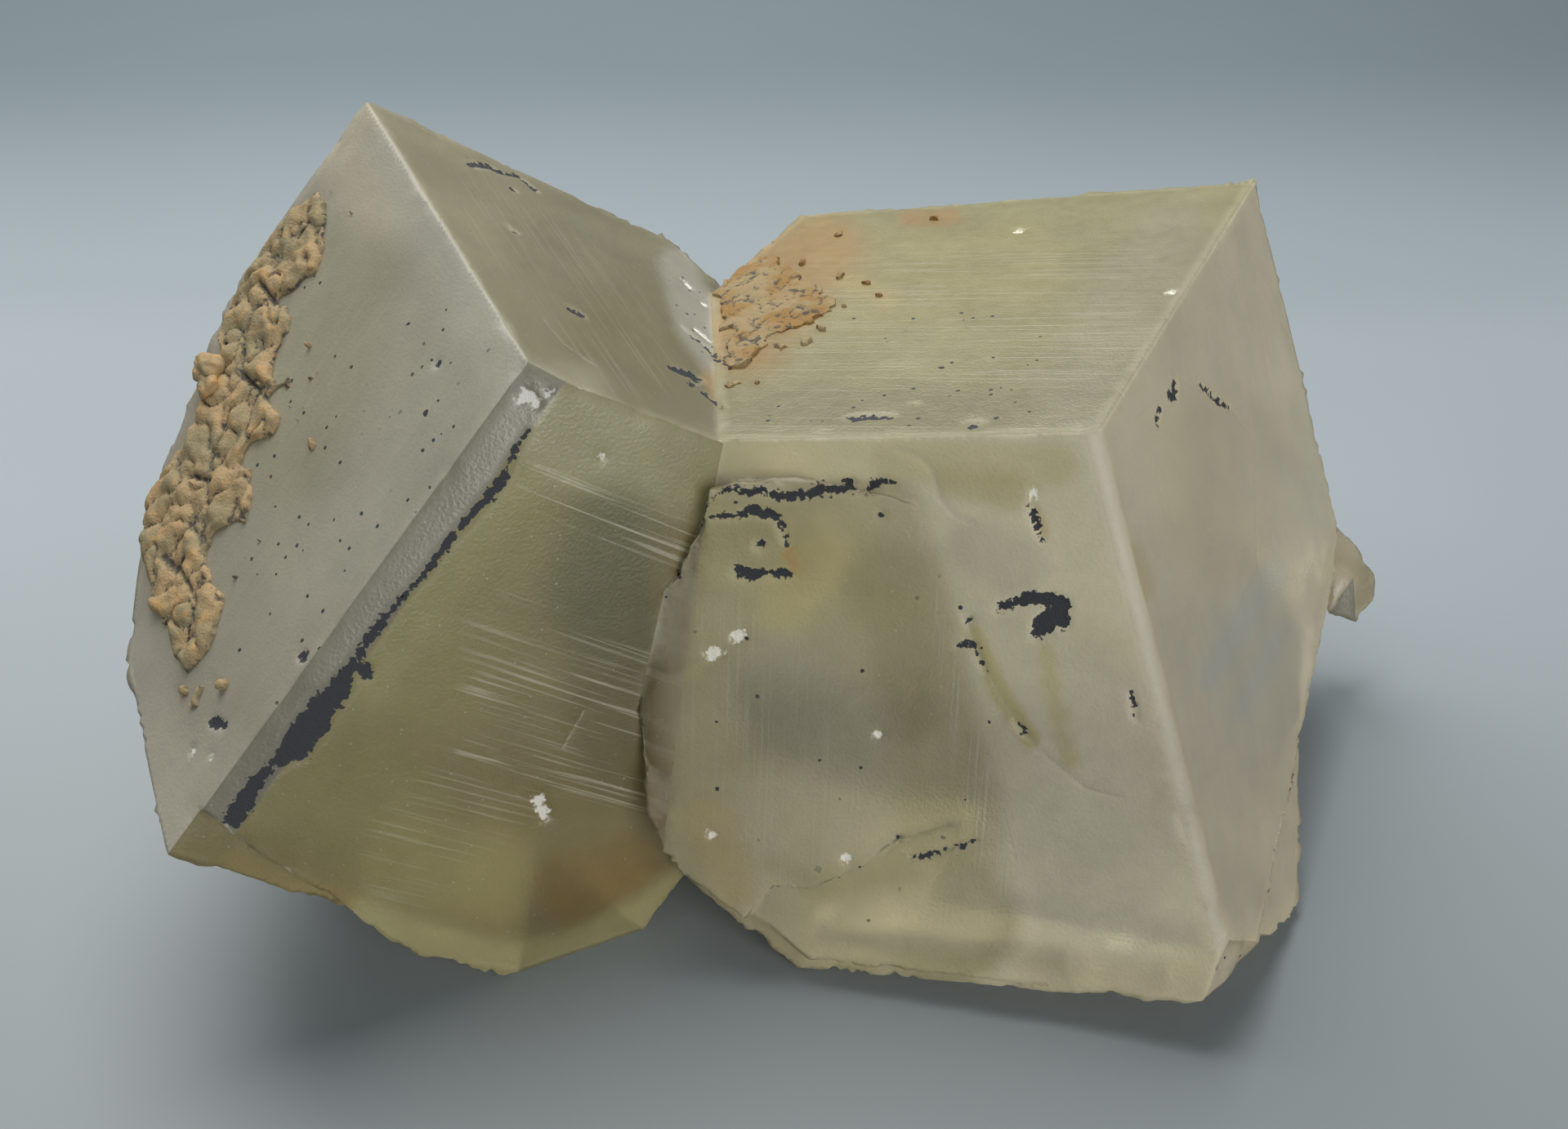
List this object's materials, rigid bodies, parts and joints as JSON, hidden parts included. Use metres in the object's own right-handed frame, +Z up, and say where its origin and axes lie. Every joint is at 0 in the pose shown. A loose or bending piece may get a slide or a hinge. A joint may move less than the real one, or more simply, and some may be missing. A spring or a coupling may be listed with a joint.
{
  "type": "calcite twin",
  "caption": "Mineral specimen: two translucent rhombohedral calcite crystals grown together as a contact twin, with ochre crusts, on a flat broken base.",
  "frame": {"origin": "middle of the bounding box, at the flat cut that the twin lies on", "axes": "+Z up from the flat cut; +X along the long side, from the left crystal to the right one; the crystals' front faces look towards -Y"},
  "size_m": [0.0918, 0.0576, 0.0483],
  "materials": {
    "calcite": "frosted translucent calcite, olive to pale beige",
    "ochre_crust": "matt lumpy ochre mineral crust",
    "orange_crust": "matt lumpy orange mineral crust"
  },
  "bodies": {
    "root": {"calcite_twin": "calcite", "side_crust": "ochre_crust", "notch_crust": "orange_crust"}
  },
  "joints": []
}
